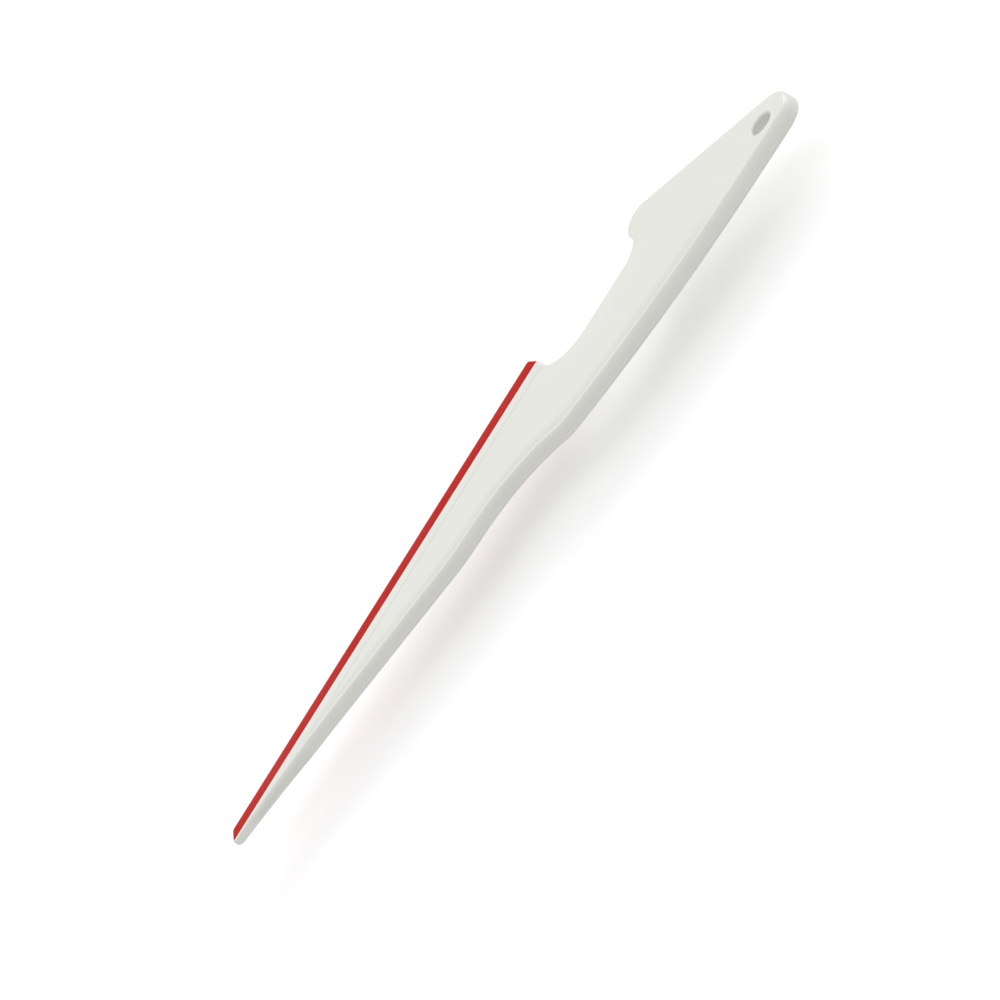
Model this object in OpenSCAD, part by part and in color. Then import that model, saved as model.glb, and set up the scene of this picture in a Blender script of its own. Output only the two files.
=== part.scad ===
// Knife-shaped hand tool for folding and creasing paper and card: one white moulded body
// and a red edge strip keyed into its straight edge.
// The tool lies on its back. +X runs from the tip to the handle, +Y towards the straight
// edge, +Z out of the front face. The origin is at the centre of the bottom of its box.

/* [Overall] */
// Thickness of the body
thickness = 4; // [3:0.25:6]
// Width from the straight edge to the lowest point of the spine
overall_width = 50.75; // [50.5:0.25:53]
// How much the back rises at the tip, so that the tip is thinner
tip_relief = 1.5; // [0.5:0.1:2]
// Length of the stretch that thins towards the tip
tip_relief_length = 38; // [25:1:60]

/* [Blade] */
// Length of the blade, from the tip to the heel
blade_length = 158; // [150:1:159]
// Distance from the straight edge to the fine line that runs along the blade
line_inset = 10.6; // [9:0.1:14]
// Width of the fine line
line_width = 0.5; // [0.3:0.1:1]
// Depth of the fine line
line_depth = 0.15; // [0.1:0.05:0.5]
// Distance from the tip to the front end of the fine line
line_start = 38; // [30:1:60]

/* [Edge strip] */
// Width of the strip that shows on the face
strip_width = 5.5; // [5:0.1:5.7]
// How far the strip's end leans back at the heel
strip_lean = 1.5; // [0:0.1:2]
// Corner radius at the strip's two outer corners
strip_corner = 1; // [0.5:0.1:1.5]
// Thickness of the hidden tongue
tongue_thickness = 1.4; // [1:0.1:1.8]
// Depth of the tongue inside the body
tongue_depth = 3; // [2:0.25:4]
// Distance from the tip to the tongue's front end
tongue_start = 40; // [36:1:60]

/* [Finger notch] */
// Length of the notch along the straight edge
notch_length = 37.7; // [34:0.1:39]
// Depth of the notch below the straight edge
notch_depth = 20.75; // [20:0.25:22]
// Radius of the corner at the heel
notch_heel_radius = 13.7; // [12:0.1:14.3]
// Radius of the corner at the handle
notch_handle_radius = 7; // [5:0.1:7.4]

/* [Handle] */
// Drop from the straight edge to the top of the shoulder
shoulder_drop = 7.75; // [7.25:0.05:8]
// Radius of the shoulder
shoulder_radius = 5.8; // [5:0.1:6]
// Slope of the handle's upper edge, in degrees
handle_slope = 44.4; // [44:0.1:47]
// Radius of the rounded handle end
end_radius = 6.8; // [6:0.1:8]
// Radius of the hang hole
hang_hole_radius = 2.75; // [2:0.25:3]
// How far the hang hole sits in front of the end's centre
hang_hole_shift = 1.6; // [0:0.1:3]

/* [Spine rim] */
// Width of the raised rim along the spine
rim_width = 1.5; // [1:0.1:2.5]
// Width of the shallow groove beside the rim
rim_groove_width = 3.2; // [2:0.1:4]
// Depth of the shallow groove
rim_groove_depth = 0.4; // [0.2:0.05:0.8]
// Length at the handle end where the groove is left out
rim_groove_stop = 29; // [26:1:60]

/* [Hidden] */

arc_step = 4;
slack = 1;
tongue_gap = 0.05;
tongue_heel_wall = 2;
heel_lip = [0.3, 0.7];
hang_hole_drop = 0.4;

notch_end_x = blade_length + notch_length;
shoulder = [notch_end_x + shoulder_radius, -shoulder_drop - shoulder_radius];
slope_normal = [sin(handle_slope), cos(handle_slope)];

// The end arc touches both the sloping upper edge and the bottom of the spine.
slope_reach = shoulder * slope_normal + shoulder_radius;
end_y = end_radius - overall_width;
end_x = (slope_reach - end_radius - end_y * slope_normal.y) / slope_normal.x;
overall_length = end_x + end_radius;
hang_hole = [end_x - hang_hole_shift, end_y - hang_hole_drop];
centre = [overall_length / 2, -overall_width / 2];

// The spine, followed from the handle to the tip. Each step is [length, turn in degrees],
// and a step that turns does so evenly, as an arc.
handle_steps = [
    [8.5, 0],       // flat under the handle end
    [71.5, -13.8],  // long bow under the handle and the notch
    [3.4, -19.5],   // soft corner where the wave begins
    [2.4, 0],
    [32, 30.5],     // hollow of the wave
    [4.5, 0],
    [9.6, -11]      // crest of the wave
];
tip_steps = [
    [52, 7.8],      // gentle sweep towards the tip
    [1.2, -84.1]    // rounded lower corner of the tip
];

// A straight stretch between the two takes up the length that is left.
wave_heading = 180 + turn_of(handle_steps);
handle_half = path([end_x, -overall_width], 180, handle_steps);
tip_reach = last(path([0, 0], wave_heading, tip_steps));
straight_run = -(last(handle_half).x + tip_reach.x) / cos(wave_heading);
spine = concat(handle_half, path(last(handle_half), wave_heading, concat([[straight_run, 0]], tip_steps)));

function last(points) = points[len(points) - 1];
function turn_of(steps, k = 0) = k == len(steps) ? 0 : steps[k][1] + turn_of(steps, k + 1);
function raised(points, dy) = [for (p = points) p + [0, dy]];
function reversed(points) = [for (i = [len(points) - 1:-1:0]) points[i]];

// Points on an arc about c, from angle a0 to angle a1.
function arc(c, r, a0, a1) =
    let (n = ceil(abs(a1 - a0) / arc_step))
    [for (i = [0:n]) c + r * [cos(a0 + (a1 - a0) * i / n), sin(a0 + (a1 - a0) * i / n)]];

// Points along one step of a path that starts at p with heading h.
function step_points(p, h, length, turn) =
    turn == 0
    ? [p + length * [cos(h), sin(h)]]
    : let (n = ceil(max(abs(turn) / arc_step, 6)), r = length * 180 / PI / turn)
      [for (i = [1:n]) p + r * [sin(h + turn * i / n) - sin(h), cos(h) - cos(h + turn * i / n)]];

// Points along all the steps of a path, one after another.
function path(p, h, steps, k = 0) =
    k == len(steps)
    ? []
    : let (points = step_points(p, h, steps[k][0], steps[k][1]))
      concat(points, path(last(points), h + steps[k][1], steps, k + 1));

// Puts the profile's own frame, with the tip's corner at [0, 0], into the tool's frame.
module place() {
    translate([-centre.x, -centre.y, 0]) children();
}

// Outline of the white body, which starts below the strip.
module body_outline() {
    polygon(concat(
        [
            [0, -strip_width],
            [blade_length - heel_lip.x, -strip_width],
            [blade_length, -strip_width - heel_lip.y]
        ],
        arc([blade_length + notch_heel_radius, notch_heel_radius - notch_depth],
            notch_heel_radius, 180, 270),
        arc([notch_end_x - notch_handle_radius, notch_handle_radius - notch_depth],
            notch_handle_radius, 270, 360),
        arc(shoulder, shoulder_radius, 180, 90 - handle_slope),
        arc([end_x, end_y], end_radius, 90 - handle_slope, -90),
        spine
    ));
}

// Outline of the part of the strip that shows, with its two outer corners rounded.
module strip_outline() {
    heel_x = blade_length - heel_lip.x;
    lean_angle = atan(strip_lean / strip_width);
    polygon(concat(
        [[0, -strip_width]],
        arc([strip_corner, -strip_corner], strip_corner, 180, 90),
        arc([heel_x - strip_lean - strip_corner, -strip_corner], strip_corner, 90, lean_angle),
        [[heel_x, -strip_width]]
    ));
}

// The tongue, grown by gap on every side for the slot that takes it.
module tongue(gap) {
    translate([
        tongue_start - gap,
        -strip_width - tongue_depth - gap,
        thickness / 2 - tongue_thickness / 2 - gap
    ])
        cube([
            blade_length - tongue_heel_wall - tongue_start + 2 * gap,
            tongue_depth + gap,
            tongue_thickness + 2 * gap
        ]);
}

// Wedge taken from the back so that the tip is thinner.
module tip_wedge() {
    rotate([90, 0, 0]) linear_extrude(overall_width, center = true)
        polygon([
            [-slack, -slack],
            [tip_relief_length, -slack],
            [tip_relief_length, 0],
            [0, tip_relief],
            [-slack, tip_relief]
        ]);
}

// Groove beside the spine, which leaves the rim standing along the edge.
module rim_groove() {
    translate([0, 0, thickness - rim_groove_depth])
        linear_extrude(rim_groove_depth + slack)
            intersection() {
                polygon(concat(
                    raised(spine, rim_width),
                    reversed(raised(spine, rim_width + rim_groove_width))
                ));
                translate([0, -overall_width])
                    square([overall_length - rim_groove_stop, overall_width - line_inset]);
            }
}

// Fine line along the blade, from the heel to where it meets the rim.
module blade_line() {
    translate([line_start, -line_inset, thickness - line_depth])
        cube([blade_length, line_width, line_depth + slack]);
}

module body() {
    color("whitesmoke") place() difference() {
        linear_extrude(thickness) body_outline();
        tongue(tongue_gap);
        translate([hang_hole.x, hang_hole.y, -slack])
            cylinder(r = hang_hole_radius, h = thickness + 2 * slack, $fn = 64);
        rim_groove();
        blade_line();
        tip_wedge();
    }
}

module edge_strip() {
    color("firebrick") place() difference() {
        union() {
            linear_extrude(thickness) strip_outline();
            tongue(0);
        }
        tip_wedge();
    }
}

body();
edge_strip();
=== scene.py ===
"""Looks of a paper folding tool: a white moulded body and a red edge strip.

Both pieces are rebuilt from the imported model's own outlines, with rounded edges, the raised
rim along the spine, the fine line along the blade and the dished finger notch. Lengths in
the named values are millimetres and are turned into metres where the meshes are made.
"""

import math

import bmesh
import bpy
import numpy as np
from mathutils import Matrix, Vector
from mathutils.geometry import delaunay_2d_cdt


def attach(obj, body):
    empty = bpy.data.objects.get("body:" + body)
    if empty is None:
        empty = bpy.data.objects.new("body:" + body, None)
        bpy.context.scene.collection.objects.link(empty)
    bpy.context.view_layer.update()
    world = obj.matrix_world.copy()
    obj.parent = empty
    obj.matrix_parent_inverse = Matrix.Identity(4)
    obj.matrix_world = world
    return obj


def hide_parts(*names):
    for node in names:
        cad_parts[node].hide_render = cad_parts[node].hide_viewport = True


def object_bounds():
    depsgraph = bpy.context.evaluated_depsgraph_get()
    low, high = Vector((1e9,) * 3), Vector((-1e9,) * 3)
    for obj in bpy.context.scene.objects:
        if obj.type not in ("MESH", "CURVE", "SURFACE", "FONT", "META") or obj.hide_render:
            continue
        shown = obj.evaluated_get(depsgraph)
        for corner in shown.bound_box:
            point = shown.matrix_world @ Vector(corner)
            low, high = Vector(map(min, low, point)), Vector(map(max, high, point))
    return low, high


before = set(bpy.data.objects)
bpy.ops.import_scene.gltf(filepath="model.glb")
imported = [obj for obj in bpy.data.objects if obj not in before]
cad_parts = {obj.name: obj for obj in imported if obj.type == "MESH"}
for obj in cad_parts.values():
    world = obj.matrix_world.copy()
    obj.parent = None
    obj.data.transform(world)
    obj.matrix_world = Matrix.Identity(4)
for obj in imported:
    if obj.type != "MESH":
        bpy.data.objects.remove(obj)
cad_low, cad_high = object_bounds()

MM = 0.001

# The CAD model's own sizes that its outline doesn't give
THICKNESS = 4.0
STRIP_WIDTH = 5.5
BLADE_LENGTH = 158.0
TIP_RELIEF = 1.5
TIP_RELIEF_LENGTH = 38.0
TIP_X = cad_low[0] / MM
EDGE_Y = cad_high[1] / MM
SEAM_Y = EDGE_Y - STRIP_WIDTH
SEAM_REACH = 0.02  # how near the seam something has to be to count as on it
BACK_FACING = 0.9  # how squarely a CAD face has to look down to be part of the back
BACK_REACH = 0.1

# Outline sampling
SMOOTH_TURN = math.radians(15)  # a sharper turn than this is a true corner
STRAIGHT_TURN = math.radians(0.05)  # a smaller turn than this is no turn at all
STRAIGHT_RATIO = 3.0  # a stretch this much longer than its neighbour is straight
SAMPLE_STEP = 0.8
HOLE_SIDES = 72
FACE_GRID = 2.4  # spacing of the points spread over a face
GRID_GAP = 0.9  # how far those keep from everything else
LOOSE_GAP = 0.12  # how far the fine shapes' points keep from a face's border
JOIN_REACH = 1e-6
NUDGE = 0.02  # half the step over which a face's slope is measured
MITRE_LIMIT = 0.7
SHARP_LIMIT = math.cos(math.radians(50))

# Edge rounding, as how far each goes in over the face and how far down the side
FILLET_STEPS = 7
SEAM_EDGE = (0.12, 0.12)
SPINE_EDGE = (1.1, 2.8)
HANDLE_EDGE = (0.7, 1.2)
NOTCH_EDGE = (0.8, 0.7)
SHOULDER_EDGE = (0.45, 0.45)
BACK_EDGE = (0.5, 0.5)
SPINE_BACK_EDGE = (0.6, 0.85)
HOLE_EDGE = (0.5, 0.6)
STRIP_SEAM_EDGE = (0.2, 0.15)
STRIP_OUTER_EDGE = (0.15, 0.2)
STRIP_END_EDGE = (0.2, 0.2)
DROP_SHARE = (0.72, 0.22)  # share of the plate's thickness that its edges may take, front and back
NOSE_RADIUS = 1.6  # how the back rounds up at the very tip
NOSE_SHARE = 0.98  # share of that radius in use, so that the slope is never vertical
STRIP_CROWN = 0.05
EDGE_SHARE = 0.42  # share of the room beside the seam that a rounded edge may take
RADIUS_BLEND = 2.5  # length over which one edge radius turns into the next
WALL_LEAN = 0.08  # how far the side wall leans in from the back to the front
SPINE_LEAN = 0.2
SHOULDER_SPAN = (191.0, 204.0)  # distances from the tip between which the shoulder lies

# Rim and groove along the spine, as distances from the spine's outline
SPINE_FACING = -0.3  # the outline looks this much towards -Y all along the spine
RIM_TOP = 1.9
GROOVE_DEEPEST = 2.3
GROOVE_END = 6.1
GROOVE_DEPTH = 0.65
GROOVE_CURVE = 2.4  # how much steeper the groove's inner side is near the rim
GROOVE_RINGS = (1.5, 1.9, 2.0, 2.1, 2.2, 2.3, 2.5, 2.75, 3.1, 3.5, 3.9, 4.4, 4.9, 5.5, 6.1, 6.7)
GROOVE_TIP = (30.0, 52.0)  # distances from the tip over which the groove fades in
GROOVE_HANDLE = (198.0, 211.0)  # distances from the tip over which it fades out
GROOVE_MARGIN = 4.0  # how far the rows of points run past the groove's ends

# Fine line along the blade
LINE_INSET = 10.35
LINE_HALF_WIDTH = 0.45
LINE_DEPTH = 0.16
LINE_TIP = (34.0, 44.0)  # distances from the tip over which the line fades in
LINE_ROWS = (-0.62, -0.45, -0.22, 0.0, 0.22, 0.45, 0.62)
LINE_STEP = 1.0
LINE_MARGIN = (2.0, 8.0)  # how far its rows of points run past its start and past the blade
LINE_CLEARANCE = 0.3

# Shallow dish where the finger rests against the notch
DISH_DEPTH = 0.2
DISH_REACH = 8.0
NOTCH_BELOW = 12.0  # the notch's floor and sides lie farther than this from the straight edge

# Slot in the body and tongue on the strip
SLOT_ROWS = (1.25, 2.75)
SLOT_SPAN = (39.5, 156.5)
SLOT_DEPTH = 3.05
TONGUE_ROWS = (1.3, 2.7)
TONGUE_SPAN = (40.5, 155.5)
TONGUE_DEPTH = 3.0

# View and light, in metres and degrees. The floor lies a little below the tool, so that the
# soft shadow falls beside it
AIM = Vector((0.0082, -0.0097, 0.004))
CAMERA_DISTANCE = 0.2978
CAMERA_AZIMUTH = 11.33
CAMERA_ELEVATION = 22.05
CAMERA_ROLL = -61.7
LENS = 45.0
FLOOR_HALF = 60.0
FLOOR_DROP = -0.0125
FLOOR_TONE = 0.52
FLOOR_GLOW = 0.42
WORLD_BRIGHT = 1.05
WORLD_DARK = 0.56
WORLD_SPAN = (-0.8, 0.25)  # directions along Y between which dark turns into bright
# Each light: azimuth, elevation, width and strength
LIGHTS = {"key": (39.0, 34.0, 36.0, 0.92), "fill": (-80.0, 60.0, 50.0, 0.64)}

# Finishes, as linear colours
WHITE_TONE = (0.62, 0.625, 0.583)
WHITE_DRIFT = (0.63, 0.635, 0.597)
RED_TONE = (0.42, 0.006, 0.002)
RED_DRIFT = (0.4, 0.0055, 0.002)
WHITE_FINISH = (0.26, 0.34, 0.32)  # lowest and highest roughness, and shine
RED_FINISH = (0.38, 0.5, 0.03)
PLASTIC_IOR = 1.52
HAIRLINE = 0.04  # extra roughness in the faint hairlines
HAIRLINE_STRETCH = (0.04, 1.0, 0.4)
# Sizes of the finishes' patterns, in waves a metre
WAVES = {"drift": 28.0, "patches": 60.0, "hairlines": 700.0, "skin": 90.0, "grain": 1200.0}
PAPER_WAVES = {"drift": 3.0, "grain": 1500.0}


def smoothstep(t):
    """0 below 0, 1 above 1, with a soft start and end between them."""
    t = np.clip(t, 0.0, 1.0)
    return t * t * (3.0 - 2.0 * t)


def ramp(value, ends):
    """0 at the first of the two ends and 1 at the second, with a soft start and end."""
    return smoothstep((value - ends[0]) / (ends[1] - ends[0]))


def unit_rows(vectors):
    """The vectors, one a row, each made 1 long."""
    return vectors / np.linalg.norm(vectors, axis=1)[:, None]


# ---------------------------------------------------------------- outlines from the frame


def back_slope(points):
    """Height of the CAD model's back face, which rises towards the tip."""
    along = points[:, 0] - TIP_X
    return TIP_RELIEF * np.clip(1 - along / TIP_RELIEF_LENGTH, 0.0, None)


def back_height(points):
    """Height of the finished back face, rounded up at the very tip."""
    short = np.clip(NOSE_RADIUS - (points[:, 0] - TIP_X), 0.0, NOSE_RADIUS * NOSE_SHARE)
    return back_slope(points) + NOSE_RADIUS - np.sqrt(NOSE_RADIUS**2 - short**2)


def back_loops(node):
    """Closed outlines, in mm, of a CAD node's back face, the longest one first."""
    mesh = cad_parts[node].data
    points = {}
    edges = set()
    for polygon in mesh.polygons:
        centre = np.array(polygon.center) / MM
        off_back = abs(centre[2] - back_slope(centre[None])[0])
        if polygon.normal.z > -BACK_FACING or off_back > BACK_REACH:
            continue
        keys = []
        for index in polygon.vertices:
            co = mesh.vertices[index].co / MM
            keys.append((round(co.x, 3), round(co.y, 3)))
            points[keys[-1]] = (co.x, co.y)
        edges.update((a, b) for a, b in zip(keys, keys[1:] + keys[:1]) if a != b)
    border = {a: b for a, b in edges if (b, a) not in edges}
    loops = []
    while border:
        start = min(border)
        loop = [start]
        step = border.pop(start)
        while step != start:
            loop.append(step)
            step = border.pop(step)
        loops.append(np.array([points[key] for key in loop]))
    loops.sort(key=lambda loop: -abs(signed_area(loop)))
    return [loop if signed_area(loop) > 0 else loop[::-1] for loop in loops]


def signed_area(loop):
    """Area inside a loop, positive when it runs counter-clockwise."""
    x, y = loop[:, 0], loop[:, 1]
    return 0.5 * float(np.sum(x * np.roll(y, -1) - np.roll(x, -1) * y))


def tidy_loop(loop):
    """The loop without points that lie on a straight stretch between their neighbours."""
    before = loop - np.roll(loop, 1, axis=0)
    after = np.roll(loop, -1, axis=0) - loop
    turn = np.abs(turn_angle(before, after))
    return loop[turn > STRAIGHT_TURN]


def turn_angle(a, b):
    """Signed angle from each direction in a to the one in b."""
    cross = a[:, 0] * b[:, 1] - a[:, 1] * b[:, 0]
    return np.arctan2(cross, np.sum(a * b, axis=1))


def resample(loop):
    """The loop as a smooth, finely sampled curve that keeps its true corners sharp."""
    loop = tidy_loop(loop)
    count = len(loop)
    chord = np.roll(loop, -1, axis=0) - loop
    length = np.linalg.norm(chord, axis=1)
    unit = chord / length[:, None]
    turn = turn_angle(np.roll(unit, 1, axis=0), unit)
    points = []
    for i in range(count):
        j = (i + 1) % count
        before, after = length[i - 1], length[j]
        start, end = unit[i], unit[i]
        if abs(turn[i]) < SMOOTH_TURN and length[i] < STRAIGHT_RATIO * before:
            start = tangent(unit[i - 1], unit[i], before, length[i])
        if abs(turn[j]) < SMOOTH_TURN and length[i] < STRAIGHT_RATIO * after:
            end = tangent(unit[i], unit[j], length[i], after)
        steps = max(1, math.ceil(length[i] / SAMPLE_STEP))
        for k in range(steps):
            points.append(hermite(loop[i], loop[j], start * length[i], end * length[i], k / steps))
    return np.array(points)


def tangent(a, b, length_a, length_b):
    """Direction of the curve where chord a meets chord b, on one arc or from arc to line."""
    if length_a > STRAIGHT_RATIO * length_b:
        return a
    if length_b > STRAIGHT_RATIO * length_a:
        return b
    mean = a * length_b + b * length_a
    return mean / np.linalg.norm(mean)


def hermite(p, q, tp, tq, t):
    """Point at t on the cubic from p to q with end tangents tp and tq."""
    t2, t3 = t * t, t * t * t
    from_p = p * (2 * t3 - 3 * t2 + 1) + tp * (t3 - 2 * t2 + t)
    return from_p + q * (3 * t2 - 2 * t3) + tq * (t3 - t2)


def inward_normals(loop):
    """Unit-inset directions of a counter-clockwise loop, mitred at its corners."""
    chord = np.roll(loop, -1, axis=0) - loop
    unit = unit_rows(chord)
    left = np.stack([-unit[:, 1], unit[:, 0]], axis=1)
    total = unit_rows(left + np.roll(left, 1, axis=0))
    cosine = np.sum(total * left, axis=1)
    return total / np.maximum(cosine, MITRE_LIMIT)[:, None]


def soften_along(loop, values, reach):
    """Values given point by point round a loop, averaged over reach mm of its length."""
    step = np.linalg.norm(np.roll(loop, -1, axis=0) - loop, axis=1)
    along = np.concatenate([[0.0], np.cumsum(step)])
    total = along[-1]
    along = along[:-1]
    gap = np.abs(along[:, None] - along[None, :])
    gap = np.minimum(gap, total - gap)
    weight = np.clip(1.0 - gap / reach, 0.0, None) * step[None, :]
    return (weight @ values) / weight.sum(axis=1)


def distance_to(points, line):
    """Distance of each point from a chain of points."""
    a, b = line[:-1], line[1:]
    ab = b - a
    size = np.sum(ab * ab, axis=1)
    best = np.full(len(points), 1e9)
    for k in range(len(a)):
        t = np.clip(((points - a[k]) @ ab[k]) / size[k], 0.0, 1.0)
        near = a[k] + t[:, None] * ab[k]
        best = np.minimum(best, np.linalg.norm(points - near, axis=1))
    return best


def inside(points, loop):
    """Which points lie inside a closed loop."""
    x, y = points[:, 0], points[:, 1]
    hit = np.zeros(len(points), bool)
    for (x0, y0), (x1, y1) in zip(loop, np.roll(loop, -1, axis=0)):
        if y0 == y1:
            continue
        crosses = (y0 > y) != (y1 > y)
        hit ^= crosses & (x < (x1 - x0) * (y - y0) / (y1 - y0) + x0)
    return hit


# ---------------------------------------------------------------- plates with rounded edges


def slope_normals(height, points, up):
    """Unit normals of the face z = height(points), pointing up (1) or down (-1)."""
    dx = (height(points + [NUDGE, 0]) - height(points - [NUDGE, 0])) / (2 * NUDGE)
    dy = (height(points + [0, NUDGE]) - height(points - [0, NUDGE])) / (2 * NUDGE)
    return unit_rows(np.column_stack([-dx, -dy, np.ones(len(points))]) * up)


def side_normals(outward, tilt):
    """Unit normals of a side wall that leans back by the tilt, a slope, at each point."""
    return unit_rows(np.column_stack([unit_rows(outward), np.broadcast_to(tilt, len(outward))]))


class Shell:
    """Vertices, normals and faces of one closed piece, gathered ring by ring."""

    def __init__(self):
        self.coords = []
        self.normals = []
        self.faces = []
        self.total = 0

    def add(self, flat, z, normals):
        """Adds points and returns their vertex numbers."""
        self.coords.append(np.column_stack([flat, z]))
        self.normals.append(normals)
        first = self.total
        self.total += len(flat)
        return list(range(first, self.total))

    def join(self, ring_a, ring_b):
        """Faces between two rings that have the same number of points."""
        count = len(ring_a)
        for i in range(count):
            j = (i + 1) % count
            self.faces.append((ring_a[i], ring_a[j], ring_b[j], ring_b[i]))

    def edge_rings(self, loop, side, height, up, edge, order):
        """Rings of a rounded edge between a side wall and the face z = height(points)."""
        rings = []
        inward, drop = edge[:, 0], edge[:, 1]
        outward = -inward_normals(loop)
        for k in order:
            angle = math.pi / 2 * k / FILLET_STEPS
            flat = loop - outward * (inward * (1 - math.cos(angle)))[:, None]
            z = height(flat) - up * drop * (1 - math.sin(angle))
            face = slope_normals(height, flat, up)
            from_side = side * (math.cos(angle) * drop)[:, None]
            from_face = face * (math.sin(angle) * inward)[:, None]
            rings.append((self.add(flat, z, unit_rows(from_side + from_face)), flat))
        return rings

    def cap(self, ring, holes, loose, height, up):
        """Fills the face inside a ring, less its holes. ring and holes are (numbers, points)."""
        spots = face_points(ring[1], [flat for _, flat in holes], loose)
        spot_ids = self.add(spots, height(spots), slope_normals(height, spots, up))
        lookup = [*ring[0], *(v for ids, _ in holes for v in ids), *spot_ids]
        for face in fill(ring[1], [flat for _, flat in holes], spots):
            ids = tuple(lookup[v] for v in face)
            self.faces.append(ids if up > 0 else ids[::-1])


def fill(boundary, holes, loose):
    """Triangles over a boundary less its holes, as numbers into boundary + holes + loose."""
    points = [Vector(p) for loop in (boundary, *holes) for p in loop] + [Vector(p) for p in loose]
    edges = []
    start = 0
    for loop in (boundary, *holes):
        count = len(loop)
        edges += [(start + i, start + (i + 1) % count) for i in range(count)]
        start += count
    places, _, triangles, origins, *_ = delaunay_2d_cdt(points, edges, [], 1, JOIN_REACH)
    centres = np.array([np.mean([places[v] for v in face], axis=0) for face in triangles])
    in_hole = np.zeros(len(triangles), bool)
    for hole in holes:
        in_hole |= inside(centres, hole)
    kept = [face for face, skip in zip(triangles, in_hole) if not skip]
    return [tuple(origins[v][0] for v in face) for face in kept]


def face_points(ring, holes, loose):
    """Points to spread over a face: the loose ones, then an even grid that keeps clear of them."""
    low, high = ring.min(axis=0), ring.max(axis=0)
    ys = np.arange(low[1], high[1], FACE_GRID)
    xs = np.arange(low[0], high[0], FACE_GRID)
    grid = np.array([(x + FACE_GRID / 2 * (j % 2), y) for j, y in enumerate(ys) for x in xs])
    fixed = clear_of(loose, ring, holes, LOOSE_GAP) if len(loose) else np.zeros((0, 2))
    grid = clear_of(grid, ring, holes, GRID_GAP)
    if len(fixed):
        near = np.array([np.min(np.sum((fixed - p) ** 2, axis=1)) for p in grid])
        grid = grid[near > GRID_GAP**2]
    return np.vstack([fixed, grid])


def clear_of(points, ring, holes, gap):
    """Those points inside the ring and outside the holes that are more than gap from both."""
    keep = inside(points, ring) & (distance_to(points, np.vstack([ring, ring[:1]])) > gap)
    for hole in holes:
        keep &= ~inside(points, hole) & (distance_to(points, np.vstack([hole, hole[:1]])) > gap)
    return points[keep]


def plate(name, loop, edge, back_edge, lean, rows, front, hole=None, loose=()):
    """A closed plate over a counter-clockwise loop, with both of its edges rounded.

    edge and back_edge are one (in, down) pair per loop point, and lean is how far the wall
    leans in at its front there; rows are the heights of the two rings round the wall at
    the seam; front is the front face's height at points; hole is (centre, radius).
    """
    shell = Shell()
    outward = -inward_normals(loop)
    low, high = back_height(loop) + back_edge[:, 1], front(loop) - edge[:, 1]
    side = side_normals(outward, lean / (high - low))
    rings = shell.edge_rings(loop, side, back_height, -1, back_edge, range(FILLET_STEPS, -1, -1))
    for share, row in zip((1 / 3, 2 / 3), rows):
        z = np.where(seam_points(loop), row, low + (high - low) * share)
        flat = loop - outward * (lean * share)[:, None]
        rings.append((shell.add(flat, np.clip(z, low, high), side), flat))
    top = loop - outward * lean[:, None]
    rings += shell.edge_rings(top, side, front, 1, edge, range(FILLET_STEPS + 1))
    for (a, _), (b, _) in zip(rings, rings[1:]):
        shell.join(a, b)
    front_holes, back_holes = [], []
    if hole:
        bore = bore_rings(shell, hole, front)
        for (a, _), (b, _) in zip(bore, bore[1:]):
            shell.join(a, b)
        back_holes, front_holes = [bore[0]], [bore[-1]]
    shell.cap(rings[-1], front_holes, loose, front, 1)
    shell.cap(rings[0], back_holes, (), back_height, -1)
    return make_piece(name, shell)


def seam_points(loop):
    """Which points of a loop lie on the seam between the body and the strip."""
    return np.abs(loop[:, 1] - SEAM_Y) < SEAM_REACH


def bore_rings(shell, hole, front):
    """Rings of a round hole from the back face to the front face, with rounded rims."""
    centre, radius = hole
    turn = -np.linspace(0, 2 * math.pi, HOLE_SIDES, endpoint=False)
    circle = centre + radius * np.column_stack([np.cos(turn), np.sin(turn)])
    side = side_normals(centre - circle, 0.0)
    edge = np.tile(HOLE_EDGE, (HOLE_SIDES, 1))
    low = shell.edge_rings(circle, side, back_height, -1, edge, range(FILLET_STEPS, -1, -1))
    return low + shell.edge_rings(circle, side, front, 1, edge, range(FILLET_STEPS + 1))


def make_piece(name, shell):
    """The shell as an object in metres; its normals are kept in attribute "true_normal"."""
    mesh = bpy.data.meshes.new(name)
    mesh.from_pydata((np.concatenate(shell.coords) * MM).tolist(), [], shell.faces)
    normals = mesh.attributes.new("true_normal", "FLOAT_VECTOR", "POINT")
    normals.data.foreach_set("vector", np.concatenate(shell.normals).ravel())
    piece = bpy.data.objects.new(name, mesh)
    bpy.context.scene.collection.objects.link(piece)
    return piece


def extrude_seam(piece, rows, span, depth):
    """Pushes the seam wall between two rows of heights and two places along it into -Y."""
    work = bmesh.new()
    work.from_mesh(piece.data)
    chosen = []
    for face in work.faces:
        centre = face.calc_center_median() / MM
        on_seam = abs(SEAM_Y - centre.y) < SEAM_REACH
        if on_seam and rows[0] < centre.z < rows[1] and span[0] < centre.x - TIP_X < span[1]:
            chosen.append(face)
    made = bmesh.ops.extrude_face_region(work, geom=chosen)["geom"]
    verts = [item for item in made if isinstance(item, bmesh.types.BMVert)]
    bmesh.ops.translate(work, verts=verts, vec=(0, -depth * MM, 0))
    bmesh.ops.delete(work, geom=[face for face in chosen if face.is_valid], context="FACES")
    work.to_mesh(piece.data)
    work.free()


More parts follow.
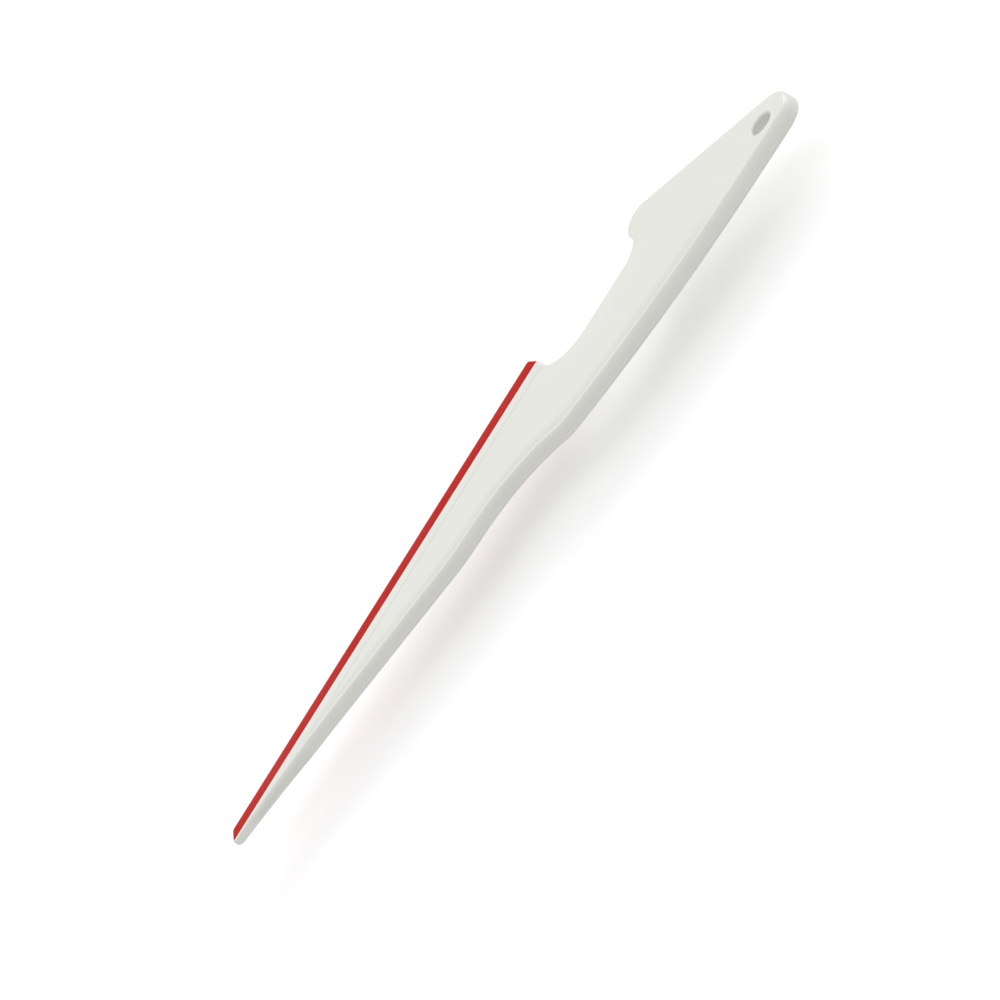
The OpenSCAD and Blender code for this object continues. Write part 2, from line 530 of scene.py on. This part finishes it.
def shade(piece):
    """Smooth shading from the true normals, but flat where a face turns well away from them."""
    mesh = piece.data
    mesh.update()
    count = len(mesh.vertices)
    true = np.empty(count * 3)
    mesh.attributes["true_normal"].data.foreach_get("vector", true)
    true = true.reshape(count, 3)
    mesh.attributes.remove(mesh.attributes["true_normal"])
    mesh.polygons.foreach_set("use_smooth", np.ones(len(mesh.polygons), bool))
    corners = np.empty((len(mesh.loops), 3))
    for polygon in mesh.polygons:
        flat = np.array(polygon.normal)
        for corner in polygon.loop_indices:
            normal = true[mesh.loops[corner].vertex_index]
            corners[corner] = normal if normal @ flat > SHARP_LIMIT else flat
    mesh.normals_split_custom_set(corners.tolist())


# ---------------------------------------------------------------- the body


def body_front(points):
    """Height of the body's front face: groove along the spine, fine line, finger dish."""
    along, down = points[:, 0] - TIP_X, EDGE_Y - points[:, 1]
    groove = groove_depth(distance_to(points, spine)) * groove_fade(along)
    across_line = smoothstep(1 - np.abs(down - LINE_INSET) / LINE_HALF_WIDTH)
    line = LINE_DEPTH * across_line * ramp(along, LINE_TIP)
    dish = DISH_DEPTH * (1 - smoothstep(distance_to(points, notch) / DISH_REACH))
    return THICKNESS - (groove + line + dish)


def groove_depth(gap):
    """Depth of the groove at a distance from the spine's outline."""
    outer = ramp(gap, (RIM_TOP, GROOVE_DEEPEST))
    inner = np.clip((GROOVE_END - gap) / (GROOVE_END - GROOVE_DEEPEST), 0, 1) ** GROOVE_CURVE
    return GROOVE_DEPTH * np.minimum(outer, inner)


def groove_fade(along):
    """1 where the groove is full, 0 beyond its two ends."""
    return ramp(along, GROOVE_TIP) * (1 - ramp(along, GROOVE_HANDLE))


def spine_run(loop):
    """Indices of the loop's points along the spine, from the tip to the handle end."""
    outward = -inward_normals(loop)
    facing = outward[:, 1] < SPINE_FACING
    first = last = int(np.argmin(loop[:, 1]))
    count = len(loop)
    while facing[(first - 1) % count]:
        first -= 1
    while facing[(last + 1) % count]:
        last += 1
    return [i % count for i in range(first, last + 1)]


def body_loose():
    """Points that carry the front face's fine shapes: rows beside the spine and the line."""
    normals = unit_rows(inward_normals(body_loop)[spine_index])
    along = spine[:, 0] - TIP_X
    keep = (along > GROOVE_TIP[0] - GROOVE_MARGIN) & (along < GROOVE_HANDLE[1] + GROOVE_MARGIN)
    rows = [spine[keep] + normals[keep] * gap for gap in GROOVE_RINGS]
    start, end = LINE_TIP[0] - LINE_MARGIN[0], BLADE_LENGTH + LINE_MARGIN[1]
    xs = TIP_X + np.arange(start, end, LINE_STEP)
    for offset in LINE_ROWS:
        y = EDGE_Y - LINE_INSET - offset
        row = np.column_stack([xs, np.full(len(xs), y)])
        far = distance_to(row, spine) > GROOVE_RINGS[-1] + LINE_CLEARANCE
        rows.append(row[far | (row[:, 0] - TIP_X < GROOVE_TIP[0])])
    return np.vstack(rows)


def edge_sizes(loop, size, room, share):
    """Edge sizes given per point, blended along the loop and kept within the room there."""
    soft = np.column_stack([soften_along(loop, size[:, k], RADIUS_BLEND) for k in (0, 1)])
    thick = share * (THICKNESS - back_height(loop))
    return np.minimum(soft, np.column_stack([room, np.minimum(thick, 2 * room)]))


def build_body():
    """The white body: blade, finger notch and handle in one moulding."""
    along, down = body_loop[:, 0] - TIP_X, EDGE_Y - body_loop[:, 1]
    size = np.where((along < SHOULDER_SPAN[0])[:, None], NOTCH_EDGE, HANDLE_EDGE)
    size[(along > SHOULDER_SPAN[0]) & (along < SHOULDER_SPAN[1])] = SHOULDER_EDGE
    size[spine_index] = SPINE_EDGE
    back_size = np.tile(BACK_EDGE, (len(body_loop), 1))
    back_size[spine_index] = SPINE_BACK_EDGE
    room = np.maximum(SEAM_EDGE[0], EDGE_SHARE * (down - STRIP_WIDTH))
    on_seam = seam_points(body_loop)[:, None]
    edge = np.where(on_seam, SEAM_EDGE, edge_sizes(body_loop, size, room, DROP_SHARE[0]))
    back = np.where(on_seam, SEAM_EDGE, edge_sizes(body_loop, back_size, room, DROP_SHARE[1]))
    lean = np.full(len(body_loop), WALL_LEAN)
    lean[spine_index] = SPINE_LEAN
    lean = np.minimum(soften_along(body_loop, lean, RADIUS_BLEND), room / 4)
    lean[on_seam[:, 0]] = 0.0
    hole = (body_hole.mean(axis=0), hole_radius())
    piece = plate(
        "body_moulding", body_loop, edge, back, lean, SLOT_ROWS, body_front, hole, body_loose()
    )
    extrude_seam(piece, SLOT_ROWS, SLOT_SPAN, SLOT_DEPTH)
    shade(piece)
    return piece


def hole_radius():
    """Radius of the CAD body's hanging hole."""
    return float(np.linalg.norm(body_hole - body_hole.mean(axis=0), axis=1).max())


# ---------------------------------------------------------------- the edge strip


def strip_front(points):
    """Height of the strip's front face, very slightly crowned across its width."""
    down = EDGE_Y - points[:, 1]
    across = np.clip(np.abs(2 * down / STRIP_WIDTH - 1), 0, 1)
    return THICKNESS - STRIP_CROWN * across**2


def build_strip():
    """The red strip that carries the straight edge, with its tongue."""
    down = EDGE_Y - strip_loop[:, 1]
    outer = -inward_normals(strip_loop)[:, 1] > 0.9
    size = np.where(outer[:, None], STRIP_OUTER_EDGE, STRIP_END_EDGE)
    room = np.maximum(SEAM_EDGE[0], EDGE_SHARE * (STRIP_WIDTH - down))
    on_seam = seam_points(strip_loop)[:, None]
    edge = np.where(on_seam, STRIP_SEAM_EDGE, edge_sizes(strip_loop, size, room, DROP_SHARE[1]))
    lean = np.zeros(len(strip_loop))
    piece = plate("red_edge_strip", strip_loop, edge, edge, lean, TONGUE_ROWS, strip_front)
    extrude_seam(piece, TONGUE_ROWS, TONGUE_SPAN, TONGUE_DEPTH)
    shade(piece)
    return piece


# ---------------------------------------------------------------- materials


def new_material(name):
    """An empty node material with its Principled shader and a helper to add nodes."""
    material = bpy.data.materials.new(name)
    material.use_nodes = True
    tree = material.node_tree
    tree.nodes.clear()
    output = tree.nodes.new("ShaderNodeOutputMaterial")
    shader = tree.nodes.new("ShaderNodeBsdfPrincipled")
    tree.links.new(shader.outputs["BSDF"], output.inputs["Surface"])
    return material, tree, shader


def noise(tree, scale, detail=3.0, roughness=0.55, stretch=(1.0, 1.0, 1.0)):
    """Noise over the object's own coordinates; scale is in waves a metre."""
    place = tree.nodes.new("ShaderNodeTexCoord")
    mapping = tree.nodes.new("ShaderNodeMapping")
    mapping.inputs["Scale"].default_value = stretch
    tree.links.new(place.outputs["Object"], mapping.inputs["Vector"])
    node = tree.nodes.new("ShaderNodeTexNoise")
    node.inputs["Scale"].default_value = scale
    node.inputs["Detail"].default_value = detail
    node.inputs["Roughness"].default_value = roughness
    tree.links.new(mapping.outputs["Vector"], node.inputs["Vector"])
    return node.outputs["Fac"]


def spread(tree, value, start, end, low, high):
    """The value's stretch from start to end, mapped to low to high."""
    node = tree.nodes.new("ShaderNodeMapRange")
    sockets = {"From Min": start, "From Max": end, "To Min": low, "To Max": high}
    for socket, number in sockets.items():
        node.inputs[socket].default_value = number
    tree.links.new(value, node.inputs["Value"])
    return node.outputs["Result"]


def two_tone(tree, factor, tone_a, tone_b):
    """A colour between two tones, by the factor."""
    node = tree.nodes.new("ShaderNodeMix")
    node.data_type = "RGBA"
    node.inputs["A"].default_value = (*tone_a, 1.0)
    node.inputs["B"].default_value = (*tone_b, 1.0)
    tree.links.new(factor, node.inputs["Factor"])
    return node.outputs["Result"]


def add_bump(tree, height, distance, strength, before=None):
    """A bump node over a height, on top of the bump before it."""
    node = tree.nodes.new("ShaderNodeBump")
    node.inputs["Distance"].default_value = distance
    node.inputs["Strength"].default_value = strength
    tree.links.new(height, node.inputs["Height"])
    if before is not None:
        tree.links.new(before, node.inputs["Normal"])
    return node.outputs["Normal"]


def moulded_plastic(name, tone, drift_tone, gloss, dull, shine):
    """Moulded plastic: slow colour drift, a slightly uneven skin and faint hairlines."""
    material, tree, shader = new_material(name)
    drift = spread(tree, noise(tree, WAVES["drift"], 2.0), 0.3, 0.7, 0.0, 1.0)
    tree.links.new(two_tone(tree, drift, tone, drift_tone), shader.inputs["Base Color"])
    patches = spread(tree, noise(tree, WAVES["patches"], 4.0), 0.35, 0.7, gloss, dull)
    streaks = noise(tree, WAVES["hairlines"], 2.0, 0.6, HAIRLINE_STRETCH)
    hairlines = spread(tree, streaks, 0.6, 0.8, 0.0, HAIRLINE)
    tree.links.new(added(tree, patches, hairlines), shader.inputs["Roughness"])
    skin = add_bump(tree, noise(tree, WAVES["skin"], 1.0), 0.0002, 0.05)
    grain = add_bump(tree, noise(tree, WAVES["grain"], 1.0), 0.00001, 0.05, skin)
    tree.links.new(grain, shader.inputs["Normal"])
    shader.inputs["IOR"].default_value = PLASTIC_IOR
    shader.inputs["Specular IOR Level"].default_value = shine
    return material


def added(tree, a, b):
    """The sum of two values."""
    node = tree.nodes.new("ShaderNodeMath")
    node.operation = "ADD"
    tree.links.new(a, node.inputs[0])
    tree.links.new(b, node.inputs[1])
    return node.outputs["Value"]


def floor_material():
    """Matt white paper."""
    material, tree, shader = new_material("floor_white")
    drift = spread(tree, noise(tree, PAPER_WAVES["drift"]), 0.3, 0.7, 0.0, 1.0)
    tones = two_tone(tree, drift, (FLOOR_TONE,) * 3, (FLOOR_TONE * 1.01,) * 3)
    tree.links.new(tones, shader.inputs["Base Color"])
    shader.inputs["Roughness"].default_value = 0.9
    shader.inputs["Specular IOR Level"].default_value = 0.1
    shader.inputs["Emission Color"].default_value = (1.0, 1.0, 1.0, 1.0)
    shader.inputs["Emission Strength"].default_value = FLOOR_GLOW
    grain = add_bump(tree, noise(tree, PAPER_WAVES["grain"]), 0.0001, 0.05)
    tree.links.new(grain, shader.inputs["Normal"])
    return material


# ---------------------------------------------------------------- floor, light and camera


def build_floor():
    """A wide pale floor under the object."""
    half = FLOOR_HALF
    corners = [(-half, -half, 0), (half, -half, 0), (half, half, 0), (-half, half, 0)]
    mesh = bpy.data.meshes.new("floor")
    mesh.from_pydata(corners, [], [(0, 1, 2, 3)])
    floor = bpy.data.objects.new("floor", mesh)
    floor.location.z = FLOOR_DROP
    bpy.context.scene.collection.objects.link(floor)
    mesh.materials.append(floor_material())


def direction(azimuth, elevation):
    """Unit direction, both angles in degrees; azimuth is counted from +X towards +Y."""
    turn, rise = math.radians(azimuth), math.radians(elevation)
    flat = math.cos(rise)
    return Vector((math.cos(turn) * flat, math.sin(turn) * flat, math.sin(rise)))


def build_lights():
    """Wide soft lights from far away."""
    for name, (azimuth, elevation, width, strength) in LIGHTS.items():
        light = bpy.data.lights.new(name, "SUN")
        light.angle = math.radians(width)
        light.energy = strength
        lamp = bpy.data.objects.new(name, light)
        bpy.context.scene.collection.objects.link(lamp)
        lamp.location = direction(azimuth, elevation)
        lamp.rotation_euler = lamp.location.to_track_quat("Z", "Y").to_euler()


def build_world():
    """White studio surroundings, brighter on the side of the straight edge."""
    world = bpy.data.worlds.new("studio")
    bpy.context.scene.world = world
    world.use_nodes = True
    tree = world.node_tree
    tree.nodes.clear()
    output = tree.nodes.new("ShaderNodeOutputWorld")
    background = tree.nodes.new("ShaderNodeBackground")
    place = tree.nodes.new("ShaderNodeTexCoord")
    split = tree.nodes.new("ShaderNodeSeparateXYZ")
    tree.links.new(place.outputs["Generated"], split.inputs["Vector"])
    strength = spread(tree, split.outputs["Y"], *WORLD_SPAN, WORLD_DARK, WORLD_BRIGHT)
    tree.links.new(strength, background.inputs["Strength"])
    background.inputs["Color"].default_value = (1.0, 1.0, 1.0, 1.0)
    tree.links.new(background.outputs["Background"], output.inputs["Surface"])


def build_camera():
    """The camera, turned about its own axis as the object was photographed."""
    away = direction(CAMERA_AZIMUTH - 90, CAMERA_ELEVATION)
    level = direction(CAMERA_AZIMUTH, 0)
    roll = math.radians(CAMERA_ROLL)
    upright = away.cross(level)
    right = level * math.cos(roll) + upright * math.sin(roll)
    top = away.cross(right)
    data = bpy.data.cameras.new("camera")
    data.lens = LENS
    data.clip_end = 500.0
    camera = bpy.data.objects.new("camera", data)
    bpy.context.scene.collection.objects.link(camera)
    turned = Matrix((right, top, away)).transposed().to_4x4()
    camera.matrix_world = Matrix.Translation(AIM + away * CAMERA_DISTANCE) @ turned
    bpy.context.scene.camera = camera


# ---------------------------------------------------------------- the object

back_of_body = back_loops("body")
body_loop = resample(back_of_body[0])
body_hole = back_of_body[1]
strip_loop = resample(back_loops("edge_strip")[0])
spine_index = spine_run(body_loop)
spine = body_loop[spine_index]
in_notch = (EDGE_Y - body_loop[:, 1] > NOTCH_BELOW) & (body_loop[:, 0] - TIP_X < SHOULDER_SPAN[1])
in_notch[spine_index] = False
notch = body_loop[in_notch]

white = moulded_plastic("white_gloss", WHITE_TONE, WHITE_DRIFT, *WHITE_FINISH)
red = moulded_plastic("red_gloss", RED_TONE, RED_DRIFT, *RED_FINISH)

for piece, node, finish, slot in (
    (build_body(), "body", white, "white_plastic"),
    (build_strip(), "edge_strip", red, "red_plastic"),
):
    piece.data.materials.append(finish)
    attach(piece, "root")
    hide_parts(node)

build_floor()
build_world()
build_lights()
build_camera()
bpy.context.scene.view_settings.view_transform = "Standard"
